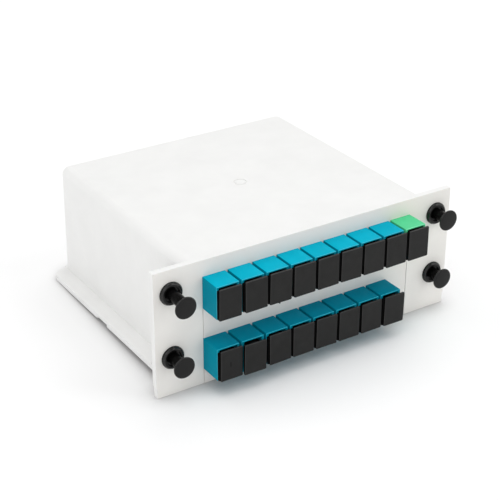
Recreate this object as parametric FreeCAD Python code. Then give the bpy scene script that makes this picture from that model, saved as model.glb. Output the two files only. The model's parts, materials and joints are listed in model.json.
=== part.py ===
"""Plug-in fibre splitter cassette, one input and sixteen outputs.

A two-part ABS housing carries seventeen SC adapters with dust caps, four push-pull
panel latches, and inside it the connectors, leads, fan-out block, ribbons and the
splitter module itself.

Frame, in millimetres: +X runs along the front panel, -Y is the side the connectors
plug into, +Z is up.  The origin is the middle of the underside of the assembly's
box with every dust cap and latch where it rests.  While the pieces are made, Y is
counted from the panel's front face, and export() moves them into the frame.
"""
import FreeCAD, Part
import math
import os

V = FreeCAD.Vector

# ---------------------------------------------------------------- driving dimensions
# Front panel
PANEL_WIDTH = 130.0
PANEL_HEIGHT = 50.0
PANEL_THICKNESS = 2.5
PANEL_CORNER_RELIEF = 0.35      # the panel's side edges step in near its foot
PANEL_RELIEF_HEIGHT = 4.4

# Housing behind the panel
BOX_WIDTH = 105.0               # outside, at the rails
BOX_DEPTH = 99.5                # panel front to rear wall, at the rails
WALL = 2.0
TOP_WALL = 2.0
DRAFT_DEG = 0.5                 # side and rear walls lean in towards the top
EDGE_RADIUS = 3.3

# Guide rails along the foot of the box
RAIL_TOP_Z = 5.0
RAIL_REACH = 6.7                # beyond the box wall
RAIL_THICKNESS = 1.0
RAIL_REAR_SETBACK = 1.5
RAIL_CORNER_RADIUS = 5.5

# Bottom cover
COVER_RIM = 1.0                 # thickness under the rails
COVER_STEP = 1.0                # extra thickness that locates inside the walls
COVER_GAP = 0.15
PRY_NOTCH_LENGTH = 7.8
PRY_NOTCH_DEPTH = 1.6
PRY_NOTCH_SLOPE = 1.0
PRY_NOTCH_Y = 53.5

TONGUE = 1.5                    # adapter plate, behind the shell's window edge

# Snap hooks that hold the cover in the shell
HOOK_PLACES_Y = (20.0, 55.0, 88.0)
HOOK_WIDTH = 6.0
HOOK_THICKNESS = 1.0
HOOK_HEIGHT = 4.6               # above the cover's floor
HOOK_NUB = 0.7
HOOK_NUB_HEIGHT = 1.6
POCKET_GAP = 0.15

# Gate mark on the top
GATE_RING_RADIUS = 2.6
GATE_RING_WIDTH = 0.35
GATE_RING_DEPTH = 0.25
GATE_RING_Y = 47.6

# Adapters: one row of nine over one row of eight
ADAPTER_WIDTH = 9.0
ADAPTER_HEIGHT = 12.4
ADAPTER_LENGTH = 27.0
ADAPTER_REACH = 9.4             # in front of the panel
ADAPTER_PITCH = 10.25
ADAPTER_CHAMFER = 0.35
ADAPTER_FIT = 0.05              # all round, in the adapter plate
UPPER_COUNT = 9
LOWER_COUNT = 8
LOWER_ROW_Z = 12.45
ROW_PITCH = 24.8
PORT_WIDTH = 7.4
PORT_FLOOR = 4.8                # below the port's axis
PORT_ROOF = 5.85                # above it, keyway included
COLLAR_WIDTH = 9.9
COLLAR_HEIGHT = 14.4
COLLAR_THICKNESS = 1.8

# Adapter retainer behind the collars
RETAINER_THICKNESS = 2.0
RETAINER_MARGIN = 1.2           # above the upper row
RETAINER_TAB = 3.6              # past the adapters at each end
GUIDE_THICKNESS = 2.0
GUIDE_WIDTH = 2.8
GUIDE_HEIGHT = 9.0

# Sleeve holder and alignment sleeve inside each adapter
HOLDER_PLATE = 2.2
HOLDER_RADIUS = 2.1
HOLDER_LENGTH = 17.2
BARREL_SIDES = 6
SLEEVE_RADIUS = 1.6
SLEEVE_BORE_RADIUS = 1.25
SLEEVE_LENGTH = 11.4
INNER_FIT = 0.05

# Dust caps
CAP_WIDTH = 9.0
CAP_HEIGHT = 11.9
CAP_DROP = 0.25                 # plate's middle below the port's axis
CAP_PLATE = 0.75
CAP_GAP = 0.85                  # plate to the adapter's rim when seated
CAP_CHAMFER = 0.3
SHOULDER_INSET = 0.35           # of the stop shoulder behind the plate
PLUG_HEIGHT = 8.9
PLUG_LENGTH = 6.1
PLUG_FIT = 0.08
PLUG_POCKET = 5.2               # square, clears the barrel in the port
PLUG_POCKET_DEPTH = 2.5
# Two caps of the lower row are not pushed fully home: column -> extra distance out
CAPS_STANDING_OUT = {("lower", 1): 0.8, ("lower", 7): 0.3}

# Push-pull latches
LATCH_SPACING_X = 116.4
LATCH_SPACING_Z = 25.6
LATCH_LOWER_Z = 15.3
GROMMET_RADIUS = 4.4
GROMMET_FLANGE = 1.45
GROMMET_HUB_RADIUS = 3.3        # through the panel
GROMMET_LEG_RADIUS = 3.0        # of the two legs behind the panel
GROMMET_LEG_LENGTH = 6.0
GROMMET_SLOT = 1.0
GROMMET_FIT = 0.05
STEM_RADIUS = 2.15
STEM_FIT = 0.08
HEAD_RADIUS = 4.15
HEAD_RIM = 1.0                  # face to where the underside starts to flare in
HEAD_DEPTH = 2.6                # face to the stem
PLUNGER_LENGTH = 14.6
# How far each latch's face stands in front of the panel at rest
LATCH_FACE = {"upper_left": 11.5, "lower_left": 8.8, "upper_right": 8.2, "lower_right": 7.2}

# Connectors plugged in from inside, and their boots
CONNECTOR_WIDTH = 7.2
CONNECTOR_HEIGHT = 8.8
CONNECTOR_START = 3.0           # behind the holder's plate
CONNECTOR_END = 9.6             # behind the adapter
BARREL_ROOM = 0.25              # round the barrel and past its end
BOOT_LENGTH = 9.0
BOOT_RADIUS = 2.2
BOOT_TIP_RADIUS = 1.1
BOOT_SIDES = 6

# Leads, fan-out block, ribbons and splitter module
LEAD_RADIUS = 0.45
LEAD_STUB = 1.5                 # straight length at each end
LEAD_STEPS = 3
LEAD_SIDES = 6
FANOUT_WIDTH = 12.0
FANOUT_HEIGHT = 5.2
FANOUT_LENGTH = 8.0
FANOUT_PITCH = 1.25
FANOUT_FRONT_Y = 78.0
MODULE_LENGTH = 40.0
MODULE_SIZE = 4.0
RIBBON_WIDTH = 2.1
RIBBON_THICKNESS = 0.3
RIBBON_SPACING = 0.6
RIBBON_BEND = 8.0
RIBBON_STEPS = 10
INPUT_BEND = 14.0
CRADLE_WALL = 1.5
CRADLE_LIP = 3.6                # up the sides of the block
CLIP_WALL = 1.0
SEAT_GAP = 0.05

# ---------------------------------------------------------------- worked-out places
HALF_PANEL = PANEL_WIDTH / 2
HALF_BOX = BOX_WIDTH / 2
DRAFT = math.tan(math.radians(DRAFT_DEG))
RAIL_UNDER_Z = RAIL_TOP_Z - RAIL_THICKNESS
COVER_UNDER_Z = RAIL_UNDER_Z - COVER_RIM
FLOOR_Z = RAIL_UNDER_Z + COVER_STEP
CEILING_Z = PANEL_HEIGHT - TOP_WALL
UPPER_ROW_Z = LOWER_ROW_Z + ROW_PITCH
WINDOW_HALF = (UPPER_COUNT - 1) / 2 * ADAPTER_PITCH + ADAPTER_WIDTH / 2
WINDOW_TOP_Z = UPPER_ROW_Z + ADAPTER_HEIGHT / 2 + ADAPTER_FIT
COLLAR_REAR_Y = PANEL_THICKNESS + COLLAR_THICKNESS
RETAINER_Y = COLLAR_REAR_Y + SEAT_GAP
ADAPTER_REAR_Y = ADAPTER_LENGTH - ADAPTER_REACH
HOLDER_Y = (ADAPTER_REAR_Y - ADAPTER_REACH) / 2
CAP_PLATE_BACK_Y = -ADAPTER_REACH - CAP_GAP
BOOT_START_Y = ADAPTER_REAR_Y + CONNECTOR_END
BOOT_END_Y = BOOT_START_Y + BOOT_LENGTH
FANOUT_REAR_Y = FANOUT_FRONT_Y + FANOUT_LENGTH
MODULE_REAR_Y = FANOUT_REAR_Y
MODULE_FRONT_Y = MODULE_REAR_Y - MODULE_LENGTH
MODULE_Z = FLOOR_Z + SEAT_GAP + MODULE_SIZE / 2
RIBBON_END_Z = MODULE_Z + 2 * RIBBON_BEND
GUIDE_Y = RETAINER_Y + RETAINER_THICKNESS + SEAT_GAP
RETAINER_HALF = WINDOW_HALF + RETAINER_TAB
HOOK_FACE_X = HALF_BOX - WALL - COVER_GAP - 0.05
LATCH_PLACES = {
    "lower_left": (-LATCH_SPACING_X / 2, LATCH_LOWER_Z),
    "lower_right": (LATCH_SPACING_X / 2, LATCH_LOWER_Z),
    "upper_left": (-LATCH_SPACING_X / 2, LATCH_LOWER_Z + LATCH_SPACING_Z),
    "upper_right": (LATCH_SPACING_X / 2, LATCH_LOWER_Z + LATCH_SPACING_Z),
}
CAP_FRONT = ADAPTER_REACH + CAP_GAP + CAP_PLATE + max(CAPS_STANDING_OUT.values())
FRONT_MOST_Y = -max(CAP_FRONT, max(LATCH_FACE.values()))
ORIGIN_Y = (FRONT_MOST_Y + BOX_DEPTH) / 2


def column_x(column):
    """X of an adapter column, counted from the left; both rows share the columns."""
    return (column - (UPPER_COUNT - 1) / 2) * ADAPTER_PITCH


# row name, column, port axis X and Z: the upper row first, its last place is the input
PORTS = [("upper", c, column_x(c), UPPER_ROW_Z) for c in range(UPPER_COUNT)]
PORTS += [("lower", c, column_x(c), LOWER_ROW_Z) for c in range(LOWER_COUNT)]
INPUT_PORT = PORTS[UPPER_COUNT - 1]
OUTPUT_PORTS = [port for port in PORTS if port is not INPUT_PORT]


# ---------------------------------------------------------------- small helpers
def block(x0, x1, y0, y1, z0, z1):
    return Part.makeBox(x1 - x0, y1 - y0, z1 - z0, V(x0, y0, z0))


def centred_block(x, z, width, height, y0, y1):
    return block(x - width / 2, x + width / 2, y0, y1, z - height / 2, z + height / 2)


def rod_y(x, z, radius, y0, y1):
    return Part.makeCylinder(radius, y1 - y0, V(x, y0, z), V(0, 1, 0))


def rod_z(x, y, radius, z0, z1):
    return Part.makeCylinder(radius, z1 - z0, V(x, y, z0))


def polygon_face(points):
    return Part.Face(Part.makePolygon(list(points) + [points[0]]))


def frustum(first, last):
    """Flat-sided solid between two outlines with as many corners each."""
    faces = [polygon_face(first), polygon_face(last)]
    for k in range(len(first)):
        n = (k + 1) % len(first)
        faces.append(polygon_face([first[k], first[n], last[n], last[k]]))
    return Part.makeSolid(Part.makeShell(faces))


def revolve_y(profile, x, z):
    """Turn a closed (radius, y) profile about the line parallel to Y through x, z."""
    face = polygon_face([V(x + r, y, z) for r, y in profile])
    return face.revolve(V(x, 0, z), V(0, 1, 0), 360)


def ring_y(x, z, radius, sides, y):
    """Corners of a regular outline about the line parallel to Y through x, z."""
    corners = []
    for k in range(sides):
        turn = 2 * math.pi * (k + 0.5) / sides
        corners.append(V(x + radius * math.cos(turn), y, z + radius * math.sin(turn)))
    return corners


def regular_prism(x, z, radius, sides, y0, y1):
    return polygon_face(ring_y(x, z, radius, sides, y0)).extrude(V(0, y1 - y0, 0))


def tapered_block(half_width, y_front, y_rear, z0, z1):
    """A block whose two sides and rear lean in by the draft, sized at the rails' foot."""
    low = (z0 - RAIL_UNDER_Z) * DRAFT
    high = (z1 - RAIL_UNDER_Z) * DRAFT
    wedge = Part.makeWedge(low - half_width, z0, low - y_rear, high - y_rear, high - half_width,
                           half_width - low, z1, -y_front, -y_front, half_width - high)
    wedge.rotate(V(0, 0, 0), V(1, 0, 0), 90)
    return wedge


def round_top_and_rear(solid, z_top, radius):
    """Round the side and rear top edges and the two upright rear edges."""
    y_front = solid.BoundBox.YMin
    chosen = []
    for edge in solid.Edges:
        ends = [vertex.Point for vertex in edge.Vertexes]
        on_front = all(abs(p.y - y_front) < 1e-6 for p in ends)
        on_top = all(abs(p.z - z_top) < 1e-6 for p in ends)
        upright = abs(ends[0].z - ends[1].z) > 1.0
        if (on_top or upright) and not on_front:
            chosen.append(edge)
    return solid.makeFillet(radius, chosen)


def round_rear_corners(plate, radius):
    rear = plate.BoundBox.YMax
    corners = [e for e in plate.Edges
               if abs(e.Vertexes[0].Z - e.Vertexes[1].Z) > 0.1
               and abs(e.Vertexes[0].Y - rear) < 1e-6]
    return plate.makeFillet(radius, corners)


def rail_plate(half_box, z0, z1, y_front):
    """Footprint of the box and its two rails, with rounded rear rail corners."""
    half = half_box + RAIL_REACH
    rear = BOX_DEPTH - RAIL_REAR_SETBACK
    plate = round_rear_corners(block(-half, half, y_front, rear, z0, z1), RAIL_CORNER_RADIUS)
    return plate.fuse(block(-half_box, half_box, y_front, BOX_DEPTH, z0, z1)).removeSplitter()


# ---------------------------------------------------------------- housing
def make_upper_shell():
    outer = tapered_block(HALF_BOX, 0, BOX_DEPTH, RAIL_UNDER_Z, PANEL_HEIGHT)
    outer = round_top_and_rear(outer, PANEL_HEIGHT, EDGE_RADIUS)
    panel = block(-HALF_PANEL, HALF_PANEL, 0, PANEL_THICKNESS, 0, PANEL_HEIGHT)
    rails = rail_plate(HALF_BOX, RAIL_UNDER_Z, RAIL_TOP_Z, PANEL_THICKNESS)
    shell = outer.fuse([panel, rails]).removeSplitter()

    inner = tapered_block(HALF_BOX - WALL, PANEL_THICKNESS, BOX_DEPTH - WALL,
                          RAIL_UNDER_Z - 1, CEILING_Z)
    guides = [retainer_guide(side, CEILING_Z - GUIDE_HEIGHT, CEILING_Z + 1) for side in (-1, 1)]
    shell = shell.cut(inner.cut(guides))

    window = adapter_plate_outline(COVER_GAP, -1, -1, WINDOW_TOP_Z)
    reliefs = [block(side * HALF_PANEL - PANEL_CORNER_RELIEF, side * HALF_PANEL + PANEL_CORNER_RELIEF,
                     -1, PANEL_THICKNESS + 1, -1, PANEL_RELIEF_HEIGHT) for side in (-1, 1)]
    latch_holes = [rod_y(x, z, GROMMET_HUB_RADIUS + GROMMET_FIT, -1, PANEL_THICKNESS + 1)
                   for x, z in LATCH_PLACES.values()]
    ring = rod_z(0, GATE_RING_Y, GATE_RING_RADIUS, PANEL_HEIGHT - GATE_RING_DEPTH, PANEL_HEIGHT + 1)
    ring = ring.cut(rod_z(0, GATE_RING_Y, GATE_RING_RADIUS - GATE_RING_WIDTH,
                          PANEL_HEIGHT - GATE_RING_DEPTH - 1, PANEL_HEIGHT + 2))
    pockets = [snap_hook(side, y, POCKET_GAP) for side in (-1, 1) for y in HOOK_PLACES_Y]
    return shell.cut([window, ring] + reliefs + latch_holes + pockets)


def adapter_plate_outline(gap, front_y, z0, z1):
    """The plate's front, and behind it the wider tongues that stop it from coming out forwards."""
    half = WINDOW_HALF + gap
    lap_y = PANEL_THICKNESS / 2 - gap
    front = block(-half, half, front_y, lap_y, z0, z1)
    rear = block(-half - TONGUE, half + TONGUE, lap_y, PANEL_THICKNESS, z0, z1)
    return front.fuse(rear)


def make_adapter_plate():
    """Front plate with a hole for every adapter; its rear half stands on the cover."""
    plate = adapter_plate_outline(0, 0, 0, WINDOW_TOP_Z - ADAPTER_FIT)
    lap = block(-HALF_PANEL, HALF_PANEL, PANEL_THICKNESS / 2, PANEL_THICKNESS + 1, -1, FLOOR_Z + SEAT_GAP)
    cuts = [lap]
    for row, column, x, z in PORTS:
        cuts.append(centred_block(x, z, ADAPTER_WIDTH + 2 * ADAPTER_FIT,
                                  ADAPTER_HEIGHT + 2 * ADAPTER_FIT, -1, PANEL_THICKNESS + 1))
    return plate.cut(cuts)


def retainer_guide(side, z0, z1):
    """Rib behind one end of the adapter retainer."""
    outer = RETAINER_HALF - SEAT_GAP
    x0, x1 = sorted((side * outer, side * (outer - GUIDE_WIDTH)))
    return block(x0, x1, GUIDE_Y, GUIDE_Y + GUIDE_THICKNESS, z0, z1)


def snap_hook(side, y, gap):
    """Tongue with an outward nub; with a gap, the pocket that the nub drops into."""
    top = FLOOR_Z + HOOK_HEIGHT + gap
    foot = FLOOR_Z - COVER_STEP / 2
    inner_x = HOOK_FACE_X - HOOK_THICKNESS
    nub_x = HOOK_FACE_X + HOOK_NUB + gap
    outline = [(inner_x, foot), (HOOK_FACE_X, foot), (HOOK_FACE_X, top - HOOK_NUB_HEIGHT - 2 * gap),
               (nub_x, top - HOOK_NUB_HEIGHT - 2 * gap), (nub_x, top - HOOK_NUB_HEIGHT / 2),
               (HOOK_FACE_X - HOOK_THICKNESS / 2, top), (inner_x, top)]
    half = HOOK_WIDTH / 2 + gap
    face = polygon_face([V(side * x, y - half, z) for x, z in outline])
    return face.extrude(V(0, 2 * half, 0))


def make_bottom_cover():
    behind_panel = PANEL_THICKNESS + COVER_GAP
    cover = rail_plate(HALF_BOX, COVER_UNDER_Z, RAIL_UNDER_Z, behind_panel)
    step = block(-HALF_BOX + WALL + COVER_GAP, HALF_BOX - WALL - COVER_GAP,
                 behind_panel, BOX_DEPTH - WALL - COVER_GAP, RAIL_UNDER_Z, FLOOR_Z)
    lip = block(-WINDOW_HALF, WINDOW_HALF, PANEL_THICKNESS / 2 + SEAT_GAP, behind_panel + 1,
                COVER_UNDER_Z, FLOOR_Z)
    foot = FLOOR_Z - COVER_STEP / 2
    guides = [retainer_guide(side, foot, FLOOR_Z + GUIDE_HEIGHT) for side in (-1, 1)]
    hooks = [snap_hook(side, y, 0) for side in (-1, 1) for y in HOOK_PLACES_Y]
    cover = cover.fuse([step, lip] + guides + hooks + module_clips()).removeSplitter()
    return cover.cut([pry_notch(side, HALF_BOX + RAIL_REACH) for side in (-1, 1)])


def pry_notch(side, edge_x):
    """Trapezoid bite out of the rail's lower layer, wide at the edge."""
    half = PRY_NOTCH_LENGTH / 2
    outline = [(edge_x + 1, -half - PRY_NOTCH_SLOPE), (edge_x + 1, half + PRY_NOTCH_SLOPE),
               (edge_x - PRY_NOTCH_DEPTH, half - PRY_NOTCH_SLOPE),
               (edge_x - PRY_NOTCH_DEPTH, -half + PRY_NOTCH_SLOPE)]
    face = polygon_face([V(side * x, PRY_NOTCH_Y + y, COVER_UNDER_Z - 1) for x, y in outline])
    return face.extrude(V(0, 0, COVER_RIM + 1))


def module_clips():
    """Four posts that hold the splitter module on the cover's floor."""
    pieces = []
    half = MODULE_SIZE / 2 + SEAT_GAP
    for y in (MODULE_FRONT_Y + MODULE_LENGTH * 0.2, MODULE_FRONT_Y + MODULE_LENGTH * 0.65):
        for side in (-1, 1):
            x0, x1 = sorted((side * half, side * (half + CLIP_WALL)))
            pieces.append(block(x0, x1, y, y + 4, FLOOR_Z - 0.5, FLOOR_Z + MODULE_SIZE + 0.6))
    return pieces


def make_fanout_cradle():
    """Bridge that stands on the cover, astride the module, and holds the fan-out block."""
    inner = FANOUT_WIDTH / 2 + SEAT_GAP
    outer = inner + CRADLE_WALL
    shelf_z = RIBBON_END_Z - FANOUT_HEIGHT / 2 - SEAT_GAP
    y0 = FANOUT_FRONT_Y + 1
    y1 = FANOUT_REAR_Y - 1
    cradle = block(-outer, outer, y0, y1, FLOOR_Z + SEAT_GAP, shelf_z + CRADLE_LIP)
    tray = block(-inner, inner, y0 - 1, y1 + 1, shelf_z, shelf_z + CRADLE_LIP + 1)
    archway = block(-inner, inner, y0 - 1, y1 + 1, FLOOR_Z, shelf_z - CRADLE_WALL)
    return cradle.cut([tray, archway])


# ---------------------------------------------------------------- adapters
def make_adapter(x, z):
    body = centred_block(x, z, ADAPTER_WIDTH, ADAPTER_HEIGHT, -ADAPTER_REACH, ADAPTER_REAR_Y)
    long_edges = [e for e in body.Edges if abs(e.Vertexes[0].Y - e.Vertexes[1].Y) > 1]
    body = body.makeChamfer(ADAPTER_CHAMFER, long_edges)
    body = body.fuse(centred_block(x, z, COLLAR_WIDTH, COLLAR_HEIGHT, PANEL_THICKNESS, COLLAR_REAR_Y))
    port = block(x - PORT_WIDTH / 2, x + PORT_WIDTH / 2, -ADAPTER_REACH - 1, ADAPTER_REAR_Y + 1,
                 z - PORT_FLOOR, z + PORT_ROOF)
    return body.cut(port)


def make_sleeve_holders():
    """Centre plate and barrel in the middle of each adapter."""
    holders = []
    for row, column, x, z in PORTS:
        plate = block(x - PORT_WIDTH / 2 + INNER_FIT, x + PORT_WIDTH / 2 - INNER_FIT,
                      HOLDER_Y - HOLDER_PLATE / 2, HOLDER_Y + HOLDER_PLATE / 2,
                      z - PORT_FLOOR + INNER_FIT, z + PORT_ROOF - INNER_FIT)
        barrel = regular_prism(x, z, HOLDER_RADIUS, BARREL_SIDES, HOLDER_Y - HOLDER_LENGTH / 2,
                               HOLDER_Y + HOLDER_LENGTH / 2)
        bore = regular_prism(x, z, SLEEVE_RADIUS + INNER_FIT, BARREL_SIDES, HOLDER_Y - HOLDER_LENGTH,
                             HOLDER_Y + HOLDER_LENGTH)
        holders.append(plate.fuse(barrel).cut(bore))
    return Part.makeCompound(holders)


def make_alignment_sleeves():
    sleeves = []
    for row, column, x, z in PORTS:
        tube = regular_prism(x, z, SLEEVE_RADIUS, BARREL_SIDES, HOLDER_Y - SLEEVE_LENGTH / 2,
                             HOLDER_Y + SLEEVE_LENGTH / 2)
        bore = regular_prism(x, z, SLEEVE_BORE_RADIUS, BARREL_SIDES, HOLDER_Y - SLEEVE_LENGTH,
                             HOLDER_Y + SLEEVE_LENGTH)
        sleeves.append(tube.cut(bore))
    return Part.makeCompound(sleeves)


def make_adapter_retainer():
    plate = block(-RETAINER_HALF, RETAINER_HALF, RETAINER_Y, RETAINER_Y + RETAINER_THICKNESS,
                  FLOOR_Z + SEAT_GAP, UPPER_ROW_Z + ADAPTER_HEIGHT / 2 + RETAINER_MARGIN)
    cuts = [centred_block(x, z, ADAPTER_WIDTH + 2 * ADAPTER_FIT, ADAPTER_HEIGHT + 2 * ADAPTER_FIT,
                          RETAINER_Y - 1, RETAINER_Y + RETAINER_THICKNESS + 1)
            for row, column, x, z in PORTS]
    return plate.cut(cuts)


def make_dust_cap(x, z, standing_out):
    """Flat plate with bevelled rim; behind it a stop shoulder and a rectangular plug."""
    back = CAP_PLATE_BACK_Y - standing_out
    front = back - CAP_PLATE
    plate = centred_block(x, z - CAP_DROP, CAP_WIDTH, CAP_HEIGHT, front, back)
    rim = [e for e in plate.Edges if all(abs(v.Y - front) < 1e-6 for v in e.Vertexes)]
    plate = plate.makeChamfer(CAP_CHAMFER, rim)
    plug_foot = z - PORT_FLOOR + PLUG_FIT
    plug_top = plug_foot + PLUG_HEIGHT
    plug_half = PORT_WIDTH / 2 - PLUG_FIT
    end = back + PLUG_LENGTH
    plug = block(x - plug_half, x + plug_half, back, end, plug_foot, plug_top)
    shoulder_half = CAP_WIDTH / 2 - SHOULDER_INSET
    shoulder_foot = z - CAP_DROP - CAP_HEIGHT / 2 + SHOULDER_INSET
    shoulder = block(x - shoulder_half, x + shoulder_half, back, back + CAP_GAP - SEAT_GAP,
                     shoulder_foot, plug_top)
    pocket = centred_block(x, z, PLUG_POCKET, PLUG_POCKET, end - PLUG_POCKET_DEPTH, end + 1)
    return plate.fuse([plug, shoulder]).removeSplitter().cut(pocket)


# ---------------------------------------------------------------- latches
def make_grommets():
    """Nylon grommets: a flange in front of the panel and two legs behind it."""
    bore = STEM_RADIUS + STEM_FIT
    leg_end = PANEL_THICKNESS + GROMMET_LEG_LENGTH
    front = -GROMMET_FLANGE
    profile = [(bore, front), (GROMMET_RADIUS, front), (GROMMET_RADIUS, 0), (GROMMET_HUB_RADIUS, 0),
               (GROMMET_HUB_RADIUS, PANEL_THICKNESS), (GROMMET_LEG_RADIUS, PANEL_THICKNESS),
               (GROMMET_LEG_RADIUS, leg_end), (bore, leg_end)]
    grommets = []
    for x, z in LATCH_PLACES.values():
        slot = centred_block(x, z, GROMMET_SLOT, GROMMET_RADIUS * 2, PANEL_THICKNESS, leg_end + 1)
        grommets.append(revolve_y(profile, x, z).cut(slot))
    return Part.makeCompound(grommets)


def make_plunger(x, z, face):
    """Round head that flares down to the stem, which spreads the grommet's legs."""
    y = -face
    end = y + PLUNGER_LENGTH
    profile = [(0, y), (HEAD_RADIUS, y), (HEAD_RADIUS, y + HEAD_RIM), (STEM_RADIUS, y + HEAD_DEPTH),
               (STEM_RADIUS, end), (0, end)]
    return revolve_y(profile, x, z)


# ---------------------------------------------------------------- inside the housing
def make_connector(x, z):
    """Plug body in the adapter's rear port, hollow where it passes over the barrel."""
    start = HOLDER_Y + CONNECTOR_START
    body = centred_block(x, z, CONNECTOR_WIDTH, CONNECTOR_HEIGHT, start, BOOT_START_Y)
    barrel_end = HOLDER_Y + HOLDER_LENGTH / 2
    pocket_width = 2 * (HOLDER_RADIUS + BARREL_ROOM)
    pocket = centred_block(x, z, pocket_width, pocket_width, start - 1, barrel_end + BARREL_ROOM)
    return body.cut(pocket)


def make_boot(x, z):
    """Tapered strain relief, six-sided, with the lead leaving its narrow end."""
    return frustum(ring_y(x, z, BOOT_RADIUS, BOOT_SIDES, BOOT_START_Y),
                   ring_y(x, z, BOOT_TIP_RADIUS, BOOT_SIDES, BOOT_END_Y))


def pipe_through(points, ring):
    """Sweep an outline along straight steps between points, mitred where they meet."""
    section = Part.makePolygon(list(ring) + [ring[0]])
    return Part.makePolygon(points).makePipeShell([section], True, False, 1)


def lead_through(points):
    """A lead, which starts along Y."""
    start = points[0]
    return pipe_through(points, ring_y(start.x, start.z, LEAD_RADIUS, LEAD_SIDES, start.y))


def lead_points(start, end):
    """Both ends point along Y; the sideways shift is spread by a smooth step."""
    points = [start]
    length = end.y - start.y - 2 * LEAD_STUB
    for k in range(LEAD_STEPS + 1):
        t = k / LEAD_STEPS
        shift = t * t * (3 - 2 * t)
        points.append(V(start.x + (end.x - start.x) * shift, start.y + LEAD_STUB + length * t,
                        start.z + (end.z - start.z) * shift))
    return points + [end]


def make_output_leads():
    leads = []
    for index, (row, column, x, z) in enumerate(OUTPUT_PORTS):
        lane = (column - (LOWER_COUNT - 1) / 2) * FANOUT_PITCH
        layer = FANOUT_PITCH * (0.5 if row == "upper" else -0.5)
        start = V(x, BOOT_END_Y, z)
        end = V(lane, FANOUT_FRONT_Y, RIBBON_END_Z + layer)
        leads.append(lead_through(lead_points(start, end)))
    return Part.makeCompound(leads)


def make_fanout_block():
    block_ = centred_block(0, RIBBON_END_Z, FANOUT_WIDTH, FANOUT_HEIGHT, FANOUT_FRONT_Y, FANOUT_REAR_Y)
    uprights = [e for e in block_.Edges if abs(e.Vertexes[0].Y - e.Vertexes[1].Y) > 1]
    return block_.makeChamfer(0.6, uprights)


def make_ribbons():
    """Two flat ribbons that leave the module, bend up and back, and enter the block."""
    ribbons = []
    for layer in (-0.5, 0.5):
        radius = RIBBON_BEND - layer * RIBBON_SPACING
        start = V(0, MODULE_REAR_Y, MODULE_Z + layer * RIBBON_SPACING)
        bend_start = start + V(0, LEAD_STUB, 0)
        centre = bend_start + V(0, 0, radius)
        bend = arc_points(centre, bend_start, 2, V(1, 0, 0), RIBBON_STEPS)
        points = [start, bend_start] + bend + [start + V(0, 0, 2 * radius)]
        across = V(RIBBON_WIDTH / 2, 0, 0)
        thick = V(0, 0, RIBBON_THICKNESS / 2)
        ring = [start - across - thick, start + across - thick, start + across + thick, start - across + thick]
        ribbons.append(pipe_through(points, ring))
    return Part.makeCompound(ribbons)


def make_splitter_module():
    body = centred_block(0, MODULE_Z, MODULE_SIZE, MODULE_SIZE, MODULE_FRONT_Y, MODULE_REAR_Y)
    return body.makeChamfer(0.3, [e for e in body.Edges if abs(e.Vertexes[0].Y - e.Vertexes[1].Y) > 1])


def arc_points(centre, start, quarter_turns, axis, steps):
    """Points of an arc from start about centre, without the first."""
    arm = start - centre
    points = []
    for k in range(1, steps + 1):
        turn = FreeCAD.Rotation(axis, 90 * quarter_turns * k / steps)
        points.append(centre + turn.multVec(arm))
    return points


def make_input_lead():
    """From the module's front end, round under the lower connectors and up to the input boot."""
    row, column, port_x, port_z = INPUT_PORT
    bend_y = MODULE_FRONT_Y - LEAD_STUB
    points = [V(0, MODULE_FRONT_Y, MODULE_Z), V(0, bend_y, MODULE_Z)]
    points += arc_points(V(INPUT_BEND, bend_y, MODULE_Z), points[-1], 1, V(0, 0, 1), 4)
    corner_x = port_x - INPUT_BEND
    points.append(V(corner_x, bend_y - INPUT_BEND, MODULE_Z))
    points += arc_points(V(corner_x, bend_y, MODULE_Z), points[-1], 1, V(0, 0, 1), 4)
    rise = (port_z - MODULE_Z) / 2
    turn_y = BOX_DEPTH - WALL - rise - 3
    points.append(V(port_x, turn_y, MODULE_Z))
    points += arc_points(V(port_x, turn_y, MODULE_Z + rise), points[-1], 2, V(1, 0, 0), 8)
    points.append(V(port_x, BOOT_END_Y, port_z))
    return lead_through(points)


# ---------------------------------------------------------------- writing the pieces
def export(name, shape):
    shape = shape.copy()
    shape.translate(V(0, -ORIGIN_Y, 0))
    shape.exportStep("parts/" + name + ".step")


def port_name(row, column):
    """input for the last place of the upper row, otherwise output_01 to output_16."""
    if row == "upper" and column == UPPER_COUNT - 1:
        return "input"
    offset = 0 if row == "upper" else UPPER_COUNT - 1
    return "output_%02d" % (offset + column + 1)


def main():
    os.makedirs("parts", exist_ok=True)
    export("upper_shell", make_upper_shell())
    export("bottom_cover", make_bottom_cover())
    export("adapter_plate", make_adapter_plate())
    export("adapter_retainer", make_adapter_retainer())
    export("latch_grommets", make_grommets())
    for place, (x, z) in LATCH_PLACES.items():
        export("latch_plunger_" + place, make_plunger(x, z, LATCH_FACE[place]))
    for row, column, x, z in PORTS:
        name = port_name(row, column)
        export("adapter_" + name, make_adapter(x, z))
        export("dust_cap_" + name, make_dust_cap(x, z, CAPS_STANDING_OUT.get((row, column), 0)))
    export("sleeve_holders", make_sleeve_holders())
    export("alignment_sleeves", make_alignment_sleeves())
    export("output_connectors", Part.makeCompound([make_connector(p[2], p[3]) for p in OUTPUT_PORTS]))
    export("input_connector", make_connector(INPUT_PORT[2], INPUT_PORT[3]))
    export("connector_boots", Part.makeCompound([make_boot(p[2], p[3]) for p in PORTS]))
    export("output_leads", make_output_leads())
    export("input_lead", make_input_lead())
    export("fanout_block", make_fanout_block())
    export("fanout_cradle", make_fanout_cradle())
    export("ribbons", make_ribbons())
    export("splitter_module", make_splitter_module())


main()
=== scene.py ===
"""Plug-in fibre splitter cassette: the looks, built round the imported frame."""

import json
import math

import bmesh
import bpy
from mathutils import Matrix, Vector


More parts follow.
